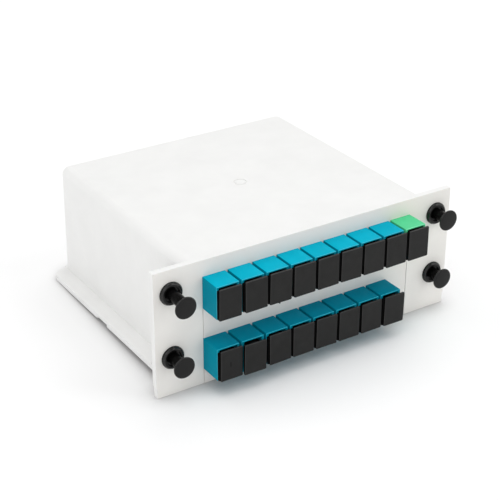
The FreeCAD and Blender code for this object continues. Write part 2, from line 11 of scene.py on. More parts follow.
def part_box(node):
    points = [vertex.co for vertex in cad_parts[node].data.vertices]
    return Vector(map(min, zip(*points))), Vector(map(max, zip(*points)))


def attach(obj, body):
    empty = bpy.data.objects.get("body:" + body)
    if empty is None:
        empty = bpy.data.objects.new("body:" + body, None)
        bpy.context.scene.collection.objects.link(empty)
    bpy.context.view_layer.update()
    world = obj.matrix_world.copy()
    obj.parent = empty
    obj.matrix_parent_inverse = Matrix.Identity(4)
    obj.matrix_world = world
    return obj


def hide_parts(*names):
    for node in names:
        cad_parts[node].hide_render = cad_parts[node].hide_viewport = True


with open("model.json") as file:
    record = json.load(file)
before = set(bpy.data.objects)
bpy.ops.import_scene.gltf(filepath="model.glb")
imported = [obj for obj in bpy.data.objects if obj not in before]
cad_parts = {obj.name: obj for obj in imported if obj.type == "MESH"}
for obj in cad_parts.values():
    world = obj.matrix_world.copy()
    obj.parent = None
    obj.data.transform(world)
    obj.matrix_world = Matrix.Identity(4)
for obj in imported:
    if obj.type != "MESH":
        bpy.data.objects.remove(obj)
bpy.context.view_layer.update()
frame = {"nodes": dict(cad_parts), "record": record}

MM = 0.001
NODES = frame["nodes"]
PORTS = ["output_%02d" % n for n in range(1, 17)] + ["input"]
LATCHES = ["upper_left", "upper_right", "lower_left", "lower_right"]
PANEL_FRONT_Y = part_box("upper_shell")[0].y
PANEL_THICKNESS = 2.5 * MM
PANEL_BACK_Y = PANEL_FRONT_Y + PANEL_THICKNESS


# ---------------------------------------------------------------- materials
MIX_FIRST, MIX_SECOND, MIX_RESULT = 6, 7, 2   # a Mix node's sockets for colours
NOISE_ROUGHNESS = 0.55
NOISE_MIDDLE = (0.3, 0.7)                  # where nearly all of a noise's values lie
FACING_UP = (0.2, 0.9)                     # Z of a normal, from an upright face to a level one
OVER_ADAPTERS_X = (40 * MM, 54 * MM)       # where the strip over the adapters starts and ends its fade
OVER_ADAPTERS_Z = (38 * MM, 43 * MM)
SHELTER_SAMPLES = 8
GLOSS_SPREAD = (-0.05, 0.07)               # how far a plastic's roughness wanders from its middle
GLOSS_FINENESS = 3                         # of the uneven gloss, against the clouds in the colour
STEEL_DULL, STEEL_BRIGHT = (0.5, 0.5, 0.5), (0.66, 0.66, 0.65)
STEEL_ROUGHNESS = (0.22, 0.38)
STREAK_STRETCH = (1.0, 0.05, 1.0)          # long along the module


class Shader:
    """A Principled material whose colour, roughness and bump come from noise."""

    def __init__(self, name, roughness, specular=0.5):
        self.material = bpy.data.materials.new(name)
        self.material.use_nodes = True
        self.tree = self.material.node_tree
        self.tree.nodes.clear()
        self.bsdf = self.node("ShaderNodeBsdfPrincipled")
        self.link(self.bsdf.outputs["BSDF"], self.node("ShaderNodeOutputMaterial").inputs["Surface"])
        self.bsdf.inputs["Roughness"].default_value = roughness
        self.bsdf.inputs["Specular IOR Level"].default_value = specular
        self.place = self.node("ShaderNodeTexCoord").outputs["Object"]

    def node(self, kind):
        return self.tree.nodes.new(kind)

    def link(self, value, socket):
        self.tree.links.new(value, socket)

    def noise(self, scale, detail=3.0, stretch=None):
        """Noise whose features are about 1/scale metres across."""
        place = self.place
        if stretch:
            mapping = self.node("ShaderNodeMapping")
            mapping.inputs["Scale"].default_value = stretch
            self.link(place, mapping.inputs["Vector"])
            place = mapping.outputs["Vector"]
        node = self.node("ShaderNodeTexNoise")
        node.inputs["Scale"].default_value = scale
        node.inputs["Detail"].default_value = detail
        node.inputs["Roughness"].default_value = NOISE_ROUGHNESS
        self.link(place, node.inputs["Vector"])
        return node.outputs["Fac"]

    def ranged(self, value, low, high, source=NOISE_MIDDLE):
        """The value, stretched so that source's two ends become low and high."""
        node = self.node("ShaderNodeMapRange")
        node.inputs["From Min"].default_value, node.inputs["From Max"].default_value = source
        node.inputs["To Min"].default_value = low
        node.inputs["To Max"].default_value = high
        self.link(value, node.inputs["Value"])
        return node.outputs["Result"]

    def mixed(self, factor, first, second):
        node = self.node("ShaderNodeMix")
        node.data_type = "RGBA"
        self.link(factor, node.inputs["Factor"])
        for socket, colour in ((node.inputs[MIX_FIRST], first), (node.inputs[MIX_SECOND], second)):
            if isinstance(colour, bpy.types.NodeSocket):
                self.link(colour, socket)
            else:
                socket.default_value = (*colour, 1.0)
        return node.outputs[MIX_RESULT]

    def calculated(self, operation, *values):
        node = self.node("ShaderNodeMath")
        node.operation = operation
        for value, socket in zip(values, node.inputs):
            self.link(value, socket)
        return node.outputs["Value"]

    def split(self, vector):
        node = self.node("ShaderNodeSeparateXYZ")
        self.link(vector, node.inputs["Vector"])
        return node.outputs

    def upward(self):
        """1 where the surface looks straight up, 0 on upright faces."""
        normal = self.node("ShaderNodeTexCoord").outputs["Normal"]
        return self.ranged(self.split(normal)["Z"], 0.0, 1.0, FACING_UP)

    def over_the_adapters(self):
        """1 on the strip of panel over the adapters, fading towards the ears and the rows."""
        place = self.split(self.place)
        aside = self.calculated("ABSOLUTE", place["X"])
        return self.calculated("MULTIPLY", self.ranged(aside, 1.0, 0.0, OVER_ADAPTERS_X),
                               self.ranged(place["Z"], 0.0, 1.0, OVER_ADAPTERS_Z))

    def sheltered(self, distance):
        """0 in the tightest corners, 1 in the open."""
        node = self.node("ShaderNodeAmbientOcclusion")
        node.samples = SHELTER_SAMPLES
        node.inputs["Distance"].default_value = distance
        return node.outputs["AO"]

    def colour(self, value):
        self.link(value, self.bsdf.inputs["Base Color"])

    def roughness(self, value):
        self.link(value, self.bsdf.inputs["Roughness"])

    def bump(self, height, distance):
        node = self.node("ShaderNodeBump")
        node.inputs["Distance"].default_value = distance
        self.link(height, node.inputs["Height"])
        self.link(node.outputs["Normal"], self.bsdf.inputs["Normal"])


def moulded(name, colour, roughness=0.4, specular=0.5, mottle=0.05, grain=2200, grain_depth=0.012,
            cloud=90, top=None, tint=None, brow=None):
    """Moulded plastic: cloudy colour, a fine satin grain and slightly uneven gloss.

    cloud and grain are the scales of the clouds and the grain, mottle is how far the clouds part from
    the colour, and grain_depth is in mm. top is the colour painted on faces that look up, lighter or
    darker for the light that falls on them from above: painted light or painted shade. brow is a warm
    tint painted on the panel over the adapters to cancel the teal light they throw on it, and tint is
    the colour of the shine.
    """
    shader = Shader(name, roughness, specular)
    if tint:
        shader.bsdf.inputs["Specular Tint"].default_value = (*tint, 1.0)
    cloudy = shader.ranged(shader.noise(cloud, detail=4.0), 0.0, 1.0)

    def clouded(middle):
        return shader.mixed(cloudy, [c * (1 - mottle) for c in middle], [c * (1 + mottle) for c in middle])

    plain = clouded(colour)
    # Faces that look up get the top colour: painted light, or painted shade, from above.
    if top:
        plain = shader.mixed(shader.upward(), plain, clouded(top))
    # The strip over the adapters gets the brow colour, a warm tint painted to cancel the teal light the
    # adapters throw on the panel.
    if brow:
        plain = shader.mixed(shader.over_the_adapters(), plain, brow)
    shader.colour(plain)
    smoothest, roughest = (roughness + spread for spread in GLOSS_SPREAD)
    uneven = shader.noise(cloud * GLOSS_FINENESS, detail=5.0)
    shader.roughness(shader.ranged(uneven, smoothest, roughest))
    shader.bump(shader.noise(grain, detail=2.0), grain_depth * MM)
    return shader.material


def brushed_steel(name):
    shader = Shader(name, roughness=0.3)
    shader.bsdf.inputs["Metallic"].default_value = 1.0
    streaks = shader.noise(scale=900, stretch=STREAK_STRETCH)
    shader.colour(shader.mixed(streaks, STEEL_DULL, STEEL_BRIGHT))
    shader.roughness(shader.ranged(streaks, *STEEL_ROUGHNESS))
    shader.bump(streaks, distance=0.004 * MM)
    return shader.material


SATIN_ABS = dict(roughness=0.46, specular=0.35, mottle=0.018, grain=1500, grain_depth=0.01)
ADAPTER_PLASTIC = dict(roughness=0.42, specular=0.2, mottle=0.06, grain=2600, grain_depth=0.006)
TEAL_PLASTIC = dict(ADAPTER_PLASTIC, specular=0.04, tint=(0.05, 0.8, 0.9))
# Settings of the lighter copies on the adapters' front rims: a painted highlight.
RIM_HIGHLIGHT_PLASTIC = dict(ADAPTER_PLASTIC, roughness=0.35, specular=0.3)
CAP_PLASTIC = dict(mottle=0.22, grain=3000, grain_depth=0.008, cloud=260)
NYLON = dict(mottle=0.2, grain=1800, grain_depth=0.003, cloud=240)
TEAL = (0.0, 0.255, 0.36)
BLACKEST = (0.003, 0.003, 0.003)           # of the blacks, for what faces away from the light

housing_skin = moulded("housing_plastic", (0.80, 0.80, 0.79), **SATIN_ABS)
# The panel's front takes a warmer copy of the housing colour, and a warmer still strip over the adapters:
# tints painted to cancel the teal light the adapters throw on the panel.
panel_skin = moulded("housing_plastic_panel", (0.83, 0.812, 0.78), brow=(0.83, 0.768, 0.73), **SATIN_ABS)
# The adapter plate's warm white is a tint painted to cancel the teal light the adapters throw on it.
plate_skin = moulded("housing_plastic_plate", (0.81, 0.78, 0.75), **SATIN_ABS)
# The tops of the upper row are painted a lighter teal: painted light from above.
teal_skin = moulded("teal_plastic", TEAL, top=(0.0, 0.37, 0.51), **TEAL_PLASTIC)
teal_rim_highlight_skin = moulded("teal_plastic_rim_highlight", (0.02, 0.42, 0.56), **RIM_HIGHLIGHT_PLASTIC)
# The lower row's copy, whose tops are painted darker: painted shade under the upper row.
teal_lower_shaded_skin = moulded("teal_plastic_lower_shaded", TEAL, top=(0.0, 0.24, 0.35), **TEAL_PLASTIC)
green_skin = moulded("green_plastic", (0.07, 0.56, 0.25), **ADAPTER_PLASTIC)
green_rim_highlight_skin = moulded("green_plastic_rim_highlight", (0.2, 0.75, 0.42), **RIM_HIGHLIGHT_PLASTIC)
cap_skin = moulded("cap_plastic", (0.0078, 0.0078, 0.0076), roughness=0.4, specular=0.2, **CAP_PLASTIC)
# Near-black copy on the plates' sides, the shoulders and the plugs: painted shade in the gap behind each
# plate.
cap_painted_shade_skin = moulded("cap_plastic_painted_shade", BLACKEST, roughness=0.6, specular=0.03, **CAP_PLASTIC)
# Lighter copy on the plates' left and top bevels: a painted highlight.
cap_bevel_highlight_skin = moulded("cap_plastic_bevel_highlight", (0.03, 0.03, 0.0295), roughness=0.4, specular=0.3, **CAP_PLASTIC)
latch_skin = moulded("latch_nylon", (0.004, 0.004, 0.0039), roughness=0.17, specular=0.22, **NYLON)
# Lighter copy on the heads' rolled edges and the grommets' flange slopes: a painted highlight.
latch_edge_highlight_skin = moulded("latch_nylon_edge_highlight", (0.01, 0.01, 0.0098), roughness=0.18, specular=0.36, **NYLON)
# Near-black copy on the flare under each head and on the stem: painted shade.
latch_painted_shade_skin = moulded("latch_nylon_painted_shade", BLACKEST, roughness=0.2, specular=0.04, **NYLON)
latch_collar_skin = moulded("latch_nylon_collar", (0.004, 0.004, 0.004), roughness=0.2, specular=0.18,
                            **NYLON)
holder_skin = moulded("holder_plastic", (0.62, 0.62, 0.58), roughness=0.42)
zirconia_skin = moulded("zirconia", (0.86, 0.84, 0.78), roughness=0.18, specular=0.6, mottle=0.02)
connector_skin = moulded("connector_plastic", (0.03, 0.16, 0.5), roughness=0.36)
boot_skin = moulded("boot_rubber", (0.05, 0.1, 0.35), roughness=0.6, specular=0.3)
lead_skin = moulded("lead_jacket", (0.75, 0.74, 0.7), roughness=0.45, specular=0.4)
ribbon_skin = moulded("ribbon_coating", (0.3, 0.45, 0.62), roughness=0.3)
fanout_skin = moulded("fanout_plastic", (0.05, 0.05, 0.052), roughness=0.45)
steel_skin = brushed_steel("module_steel")


# ---------------------------------------------------------------- piece helpers
MERGE_DISTANCE = 2e-6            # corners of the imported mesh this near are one
FLAT_ANGLE = math.radians(0.5)   # faces that turn by less are one flat area
EDGE_ANGLE = math.radians(40)    # edges that turn by more are rounded


def new_object(name, mesh):
    obj = bpy.data.objects.new(name, mesh)
    bpy.context.scene.collection.objects.link(obj)
    return obj


def finished(obj, node, body, slot, *materials):
    """Give a piece its body and its materials, and hide the node it stands for; slot is not used."""
    for material in materials:
        obj.data.materials.append(material)
    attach(obj, body)
    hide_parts(node)


def welded(node):
    """The node's faces as one closed mesh, flat areas joined."""
    bm = bmesh.new()
    bm.from_mesh(NODES[node].data)
    bmesh.ops.remove_doubles(bm, verts=bm.verts, dist=MERGE_DISTANCE)
    bmesh.ops.dissolve_limit(bm, angle_limit=FLAT_ANGLE, verts=bm.verts, edges=bm.edges)
    mesh = bpy.data.meshes.new(node + "_look")
    bm.to_mesh(mesh)
    bm.free()
    clean = bpy.data.meshes.new(node + "_look")
    clean.from_pydata([v.co for v in mesh.vertices], [], [tuple(p.vertices) for p in mesh.polygons])
    bpy.data.meshes.remove(mesh)
    return clean


def look_of(node, *materials, edge, segments):
    """The node's own shape as a moulding of the housing, with its sharp edges rounded."""
    obj = new_object(node + "_moulding", welded(node))
    obj.data.shade_smooth()
    obj.data.set_sharp_from_angle(angle=EDGE_ANGLE)
    bevel = obj.modifiers.new("edges", "BEVEL")
    bevel.width = edge
    bevel.segments = segments
    bevel.limit_method = "ANGLE"
    bevel.angle_limit = EDGE_ANGLE
    bevel.harden_normals = True
    bevel.use_clamp_overlap = True
    finished(obj, node, "housing", "housing_plastic", *materials)
    return obj


def body_of_node(node):
    return next(b for b, members in frame["record"]["behaviour"]["bodies"].items() if node in members)


def middle_of(node):
    """X and Z of the node's middle."""
    low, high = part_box(node)
    return (low.x + high.x) / 2, (low.z + high.z) / 2


def lathe(bm, profile, x, z, steps, turn_from=0.0, turn_to=2 * math.pi, closed=False):
    """Turn (radius, y) points about the line parallel to Y through x, z."""
    full = math.isclose(turn_to - turn_from, 2 * math.pi)
    count = steps if full else steps + 1
    rings = []
    for radius, y in profile:
        if radius == 0:
            rings.append([bm.verts.new((x, y, z))])
            continue
        ring = []
        for k in range(count):
            turn = turn_from + (turn_to - turn_from) * k / steps
            ring.append(bm.verts.new((x + radius * math.cos(turn), y, z + radius * math.sin(turn))))
        rings.append(ring)
    pairs = list(zip(rings, rings[1:]))
    if closed:
        pairs.append((rings[-1], rings[0]))
    for first, second in pairs:
        for k in range(steps):
            n = (k + 1) % count
            corners = [first[k % len(first)], first[n % len(first)],
                       second[n % len(second)], second[k % len(second)]]
            unique = []
            for v in corners:
                if v not in unique:
                    unique.append(v)
            if len(unique) > 2:
                bm.faces.new(unique)
    if not full and closed:
        bm.faces.new([ring[0] for ring in rings])
        bm.faces.new([ring[-1] for ring in reversed(rings)])


def arc(centre_r, centre_y, radius, start, end, steps):
    """Points of a profile's rounded corner, angles in degrees from +r towards +y."""
    points = []
    for k in range(steps + 1):
        a = math.radians(start + (end - start) * k / steps)
        points.append((centre_r + radius * math.cos(a), centre_y + radius * math.sin(a)))
    return points


def mesh_from(bm, name, smooth_angle, index_of):
    """The finished mesh; index_of(face) says which of the piece's materials a face has."""
    bmesh.ops.recalc_face_normals(bm, faces=bm.faces)
    mesh = bpy.data.meshes.new(name)
    bm.to_mesh(mesh)
    bm.free()
    mesh.shade_smooth()
    mesh.set_sharp_from_angle(angle=math.radians(smooth_angle))
    for face in mesh.polygons:
        face.material_index = index_of(face)
    return mesh


# ---------------------------------------------------------------- housing
PANEL_FACING = -0.9              # Y of the normals on the panel's front, at most
PLATE_SEAM = 0.9984              # the plate's width against its window's, so that its seams show

shell = look_of("upper_shell", housing_skin, panel_skin, edge=0.28 * MM, segments=2)
# The panel's front faces take the warmer copy: a tint painted to cancel the teal light from the adapters.
for face in shell.data.polygons:
    if face.normal.y < PANEL_FACING and face.center.y < PANEL_FRONT_Y + PANEL_THICKNESS / 2:
        face.material_index = 1
look_of("bottom_cover", housing_skin, edge=0.2 * MM, segments=2)
plate = look_of("adapter_plate", plate_skin, edge=0.1 * MM, segments=1)
plate.data.transform(Matrix.Diagonal((PLATE_SEAM, 1, 1, 1)))


# ---------------------------------------------------------------- rounded blocks and tubes
CORNER_STEPS = 4
RIM_STEPS = 4
SHARP_RADIUS = 0.01 * MM         # of a corner that has no rounding of its own
LEAD_IN, LEAD_IN_DEPTH = 0.08 * MM, 0.1 * MM   # width and depth of the bevel at a tube's mouth


def quarter(k, steps):
    """Sine and cosine of step k of a quarter turn."""
    a = math.radians(90 * k / steps)
    return math.sin(a), math.cos(a)


def outline(x0, x1, z0, z1, radius):
    """Rounded rectangle, always with as many points."""
    radius = max(radius, SHARP_RADIUS)
    points = []
    corners = [(x1 - radius, z1 - radius, 0), (x0 + radius, z1 - radius, 90),
               (x0 + radius, z0 + radius, 180), (x1 - radius, z0 + radius, 270)]
    for cx, cz, start in corners:
        for k in range(CORNER_STEPS + 1):
            a = math.radians(start + 90 * k / CORNER_STEPS)
            points.append((cx + radius * math.cos(a), cz + radius * math.sin(a)))
    return points


def loft(bm, rings, closed=False):
    """Skin rings of (x, y, z) points; capped at both ends unless closed on itself."""
    loops = [[bm.verts.new(p) for p in ring] for ring in rings]
    count = len(loops[0])
    pairs = list(zip(loops, loops[1:])) + ([(loops[-1], loops[0])] if closed else [])
    for first, second in pairs:
        for k in range(count):
            n = (k + 1) % count
            bm.faces.new([first[k], first[n], second[n], second[k]])
    if not closed:
        bm.faces.new(loops[0])
        bm.faces.new(list(reversed(loops[-1])))


def slab(bm, box, radius, front=0.0, rear=0.0, steps=3):
    """Block (x0, x1, y0, y1, z0, z1) with rounded upright corners and rounded front and rear rims."""
    x0, x1, y0, y1, z0, z1 = box
    stations = []
    for k in range(steps + 1 if front else 1):
        sine, cosine = quarter(k, steps)
        stations.append((front * (1 - sine), y0 + front * (1 - cosine)))
    for k in range(steps + 1 if rear else 1):
        sine, cosine = quarter(k, steps)
        stations.append((rear * (1 - cosine), y1 - rear * (1 - sine)))
    rings = []
    for inset, y in stations:
        flat = outline(x0 + inset, x1 - inset, z0 + inset, z1 - inset, radius - inset)
        rings.append([(x, y, z) for x, z in flat])
    loft(bm, rings)


def tube(bm, outer, inner, y0, y1, outer_radius, inner_radius, rim):
    """Rectangular tube along Y with a rounded front rim; outer and inner are x0, x1, z0, z1."""
    def ring(box, grow, radius, y):
        x0, x1, z0, z1 = box
        return [(x, y, z) for x, z in outline(x0 - grow, x1 + grow, z0 - grow, z1 + grow, radius + grow)]
    rings = [ring(outer, -rim / 2, outer_radius, y1), ring(outer, 0, outer_radius, y1 - rim / 2)]
    for k in range(RIM_STEPS + 1):
        sine, cosine = quarter(k, RIM_STEPS)
        rings.append(ring(outer, -rim * (1 - cosine), outer_radius, y0 + rim * (1 - sine)))
    rings += [ring(inner, LEAD_IN, inner_radius, y0), ring(inner, 0, inner_radius, y0 + LEAD_IN_DEPTH),
              ring(inner, 0, inner_radius, y1)]
    loft(bm, rings, closed=True)


def boxed(x, y, z, offsets):
    """A slab's box whose six sides are that many mm from the point x, y, z."""
    return [at + offset * MM for at, offset in zip((x, x, y, y, z, z), offsets)]


# ---------------------------------------------------------------- adapters
ADAPTER_WIDTH, ADAPTER_HEIGHT = 9.2 * MM, 12.75 * MM
ADAPTER_EDGE = 0.2 * MM
ADAPTER_SMOOTH = 30              # degrees
PORT_HALF, PORT_FLOOR, PORT_ROOF = 3.7 * MM, 4.8 * MM, 5.85 * MM
PORT_EDGE = 0.3 * MM
COLLAR_THICKNESS = 1.8 * MM
COLLAR_EDGE, COLLAR_RIM = 0.3 * MM, 0.12 * MM
COLLAR_SKIRT = 0.02 * MM         # how far the collar's opening reaches into the adapter's sides
RIM_NORMAL = (-0.97, -0.1)       # Y of the normals on the rounded front rim
LOWER_ROW = 20 * MM              # adapters whose foot is lower than this are in the lower row


def adapter_mesh(name, node):
    """Rectangular adapter with a thin-roofed port, and the collar that bears on the panel's back."""
    low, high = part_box(node)
    x, z = middle_of(node)
    outer = left, right, foot, top = (x - ADAPTER_WIDTH / 2, x + ADAPTER_WIDTH / 2,
                                      z - ADAPTER_HEIGHT / 2, z + ADAPTER_HEIGHT / 2)
    inner = (x - PORT_HALF, x + PORT_HALF, z - PORT_FLOOR, z + PORT_ROOF)
    opening = (left + COLLAR_SKIRT, right - COLLAR_SKIRT, foot + COLLAR_SKIRT, top - COLLAR_SKIRT)
    bm = bmesh.new()
    tube(bm, outer, inner, low.y, high.y, ADAPTER_EDGE, PORT_EDGE, ADAPTER_EDGE)
    tube(bm, (low.x, high.x, low.z, high.z), opening, PANEL_BACK_Y, PANEL_BACK_Y + COLLAR_THICKNESS,
         COLLAR_EDGE, ADAPTER_EDGE, COLLAR_RIM)

    # Faces on the front rim take the lighter second material: a painted highlight.
    def index_of(face):
        on_rim = RIM_NORMAL[0] < face.normal.y < RIM_NORMAL[1] and face.center.y < PANEL_FRONT_Y
        return 1 if on_rim else 0
    return mesh_from(bm, name, ADAPTER_SMOOTH, index_of)


# ---------------------------------------------------------------- dust caps
PLATE_THICKNESS = 0.62 * MM
PLATE_TRIM = (0.35 * MM, 0.55 * MM)        # the plate's left and right edges against its CAD box's
PLATE_TALLER = 1.03
PLATE_CORNER, PLATE_RIM, PLATE_REAR_RIM = 0.5 * MM, 0.22 * MM, 0.04 * MM
PLATE_RIM_STEPS = 2
SHOULDER_SINK = 0.03 * MM                  # how far the shoulder reaches into the plate
SHOULDER_THICKNESS = 0.92 * MM
SHOULDER_LEFT, SHOULDER_INSET, SHOULDER_DROP = 0.06 * MM, 0.22 * MM, 0.5 * MM
SHOULDER_EDGE = 0.1 * MM
PLUG_HALF, PLUG_HEIGHT = 3.62 * MM, 8.9 * MM
PLUG_FOOT = 10.67 * MM                     # below the plate's top
PLUG_EDGE = 0.3 * MM
AXIS_RISE = 0.25 * MM                      # the port's axis above the plate's middle
POCKET_HALF, POCKET_DEPTH = 2.65 * MM, 2.7 * MM
POCKET_EDGE, POCKET_RIM = 0.2 * MM, 0.04 * MM
KEY_HALF, KEY_SINK, KEY_RISE = 1.1 * MM, 0.5 * MM, 1.25 * MM
KEY_FROM, KEY_SHORT_OF_END = 0.35 * MM, 0.8 * MM
KEY_EDGE, KEY_FRONT_RIM, KEY_REAR_RIM = 0.15 * MM, 0.1 * MM, 0.3 * MM
NIB = (-0.25, 0.3, 0.15, 0.5, -0.4, 0.2)   # mm round the middle of the plate's front lower edge
NIB_EDGE = 0.15 * MM
NICK = (-0.12, 0.12, -0.01, 0.2, -0.9, 1.0)   # mm round the middle of the plate's front
NICK_EDGE = 0.1 * MM
CAP_SMOOTH = 20                            # degrees
SIDE_NORMAL = 0.8                          # X of the normals on the plate's sides, at least
BEVEL_NORMAL = (-0.95, -0.2)               # Y of the normals on the plate's front rim
RIGHT_BEVEL = 0.3                          # X of the normals on the rim's right side, at least
# Caps that sit a little askew: sideways shift in mm and roll of the plate in degrees
CAP_ASKEW = {
    "output_01": (-0.3, 0.5), "output_02": (0.1, -0.4), "output_03": (0.05, 0.7), "output_05": (0, -0.5),
    "output_06": (0, 0.6), "output_08": (0, -0.6), "input": (0.1, -0.4), "output_09": (0, 0.5),
    "output_10": (-0.75, 0.8), "output_11": (0.1, -0.7), "output_13": (0, 0.5), "output_15": (0, -0.5),
    "output_16": (0.15, 0.7),
}


def cap_mesh(name, node, port):
    """Thin bevelled plate, stop shoulder and plug with a key rib for the port's keyway."""
    low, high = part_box(node)
    x, z = middle_of(node)
    bm = bmesh.new()
    slab(bm, (low.x + PLATE_TRIM[0], high.x + PLATE_TRIM[1], low.y, low.y + PLATE_THICKNESS, low.z, high.z),
         PLATE_CORNER, PLATE_RIM, PLATE_REAR_RIM, PLATE_RIM_STEPS)
    if port == "output_03":   # a leftover of the moulding under the plate
        slab(bm, boxed(x, low.y, low.z, NIB), NIB_EDGE)
    shift, roll = CAP_ASKEW.get(port, (0, 0))
    middle = Matrix.Translation((x, 0, z))
    askew = (Matrix.Translation((shift * MM, 0, 0)) @ middle @ Matrix.Rotation(math.radians(roll), 4, "Y")
             @ Matrix.Diagonal((1, 1, PLATE_TALLER, 1)) @ middle.inverted())
    bmesh.ops.transform(bm, matrix=askew, verts=bm.verts)
    plate_faces = len(bm.faces)
    if port == "output_09":   # a short nick in the plate
        slab(bm, boxed(x, low.y, z, NICK), NICK_EDGE)
    back = low.y + PLATE_THICKNESS - SHOULDER_SINK
    slab(bm, (low.x - SHOULDER_LEFT, high.x - SHOULDER_INSET, back, back + SHOULDER_THICKNESS,
              low.z + SHOULDER_INSET, high.z - SHOULDER_DROP), SHOULDER_EDGE)
    plug_foot = high.z - PLUG_FOOT
    plug_top = plug_foot + PLUG_HEIGHT
    pocket_y = high.y - POCKET_DEPTH
    slab(bm, (x - PLUG_HALF, x + PLUG_HALF, back + SHOULDER_THICKNESS / 2, pocket_y, plug_foot, plug_top),
         PLUG_EDGE)
    axis_z = z + AXIS_RISE
    tube(bm, (x - PLUG_HALF, x + PLUG_HALF, plug_foot, plug_top),
         (x - POCKET_HALF, x + POCKET_HALF, axis_z - POCKET_HALF, axis_z + POCKET_HALF),
         pocket_y, high.y, PLUG_EDGE, POCKET_EDGE, POCKET_RIM)
    slab(bm, (x - KEY_HALF, x + KEY_HALF, back + KEY_FROM, high.y - KEY_SHORT_OF_END,
              plug_top - KEY_SINK, plug_top + KEY_RISE), KEY_EDGE, KEY_FRONT_RIM, KEY_REAR_RIM)

    def index_of(face):
        # The plate's sides, the shoulder and the plug take the near-black copy: painted shade.
        if face.index >= plate_faces or abs(face.normal.x) > SIDE_NORMAL:
            return 1
        # The front rim, but for its right side, takes the lighter copy: a painted highlight.
        on_bevel = BEVEL_NORMAL[0] < face.normal.y < BEVEL_NORMAL[1] and face.normal.x < RIGHT_BEVEL
        return 2 if on_bevel else 0
    return mesh_from(bm, name, CAP_SMOOTH, index_of)


for port in PORTS:
    node = "adapter_" + port
    skins, slot = (teal_skin, teal_rim_highlight_skin), "teal_plastic"
    if port == "input":
        skins, slot = (green_skin, green_rim_highlight_skin), "green_plastic"
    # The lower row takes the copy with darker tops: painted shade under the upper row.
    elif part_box(node)[0].z < LOWER_ROW:
        skins = (teal_lower_shaded_skin, teal_rim_highlight_skin)
    obj = new_object(node + "_moulded", adapter_mesh(node + "_moulded", node))
    finished(obj, node, "housing", slot, *skins)
    node = "dust_cap_" + port
    obj = new_object(node + "_moulded", cap_mesh(node + "_moulded", node, port))
    finished(obj, node, body_of_node(node), "cap_black", cap_skin, cap_painted_shade_skin, cap_bevel_highlight_skin)


# ---------------------------------------------------------------- latches
HEAD_RADIUS = 4.15 * MM
HEAD_EDGE = 0.42 * MM                      # radius of the head's rolled edge
HEAD_CROWN, CROWN_POWER = 0.16 * MM, 2.4   # how far the face is domed, and how it falls off
CROWN_POINTS = (0.25, 0.5, 0.75, 0.9)
ROLL_FROM, ROLL_TO, ROLL_STEPS = -84, 90, 9   # degrees round the rolled edge
FLARE_DEPTH, FLARE_INSET = 1.5 * MM, 0.35 * MM
FLARE_POWER, FLARE_DEPTH_POWER, FLARE_STEPS = 2.6, 1.15, 8
STEM_RADIUS = 2.15 * MM
STEM_CHAMFER = 0.4 * MM
STEM_STRAIGHT = 5.85 * MM                  # how much of the stem the collar takes in at full push
BEND_CLEARANCE = 0.2 * MM                  # from the flare's end to where a bend can start
BEND_POWER = 1.5
# Latches whose head hangs a little off its line: sideways and upward, in mm at the face
HEAD_OFF_LINE = {"upper_left": (-0.5, -0.4)}
HEAD_TURNS = 64
LATCH_SMOOTH = 35                          # degrees
HEAD_ROLL_NORMAL = (-0.9, 0.2)             # Y of the normals on the rolled edge


def plunger_mesh(name, node, place):
    """Thin round head with a rolled edge, a hollow flare under it and a plain stem."""
    face_y, tip_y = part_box(node)[0].y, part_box(node)[1].y
    flat = HEAD_RADIUS - HEAD_EDGE
    profile = [(0, face_y)]
    profile += [(flat * t, face_y + HEAD_CROWN * t ** CROWN_POWER) for t in CROWN_POINTS]
    profile += arc(flat, face_y + HEAD_CROWN + HEAD_EDGE, HEAD_EDGE, ROLL_FROM, ROLL_TO, ROLL_STEPS)
    under = face_y + HEAD_CROWN + 2 * HEAD_EDGE
    for k in range(1, FLARE_STEPS + 1):
        t = k / FLARE_STEPS
        profile.append((STEM_RADIUS + (flat - FLARE_INSET - STEM_RADIUS) * (1 - t) ** FLARE_POWER,
                        under + FLARE_DEPTH * t ** FLARE_DEPTH_POWER))
    flare_end = profile[-1][1]
    bend_from = max(PANEL_FRONT_Y - STEM_STRAIGHT, flare_end + BEND_CLEARANCE)
    profile += [(STEM_RADIUS, (flare_end + bend_from) / 2), (STEM_RADIUS, bend_from),
                (STEM_RADIUS, tip_y - STEM_CHAMFER), (STEM_RADIUS - STEM_CHAMFER, tip_y), (0, tip_y)]
    bm = bmesh.new()
    lathe(bm, profile, *middle_of(node), HEAD_TURNS)
    off_x, off_z = HEAD_OFF_LINE.get(place, (0, 0))
    for v in bm.verts:
        out = max(0.0, (bend_from - v.co.y) / (bend_from - face_y)) ** BEND_POWER
        v.co.x += off_x * MM * out
        v.co.z += off_z * MM * out

    def index_of(face):
        # The flare under the head and the stem take the near-black copy: painted shade.
        if face.center.y > under:
            return 1
        # The rolled edge takes the lighter copy: a painted highlight.
        return 2 if HEAD_ROLL_NORMAL[0] < face.normal.y < HEAD_ROLL_NORMAL[1] else 0
    return mesh_from(bm, name, LATCH_SMOOTH, index_of)


for place in LATCHES:
    node = "latch_plunger_" + place
    obj = new_object(node + "_turned", plunger_mesh(node + "_turned", node, place))
    finished(obj, node, body_of_node(node), "latch_black", latch_skin, latch_painted_shade_skin, latch_edge_highlight_skin)


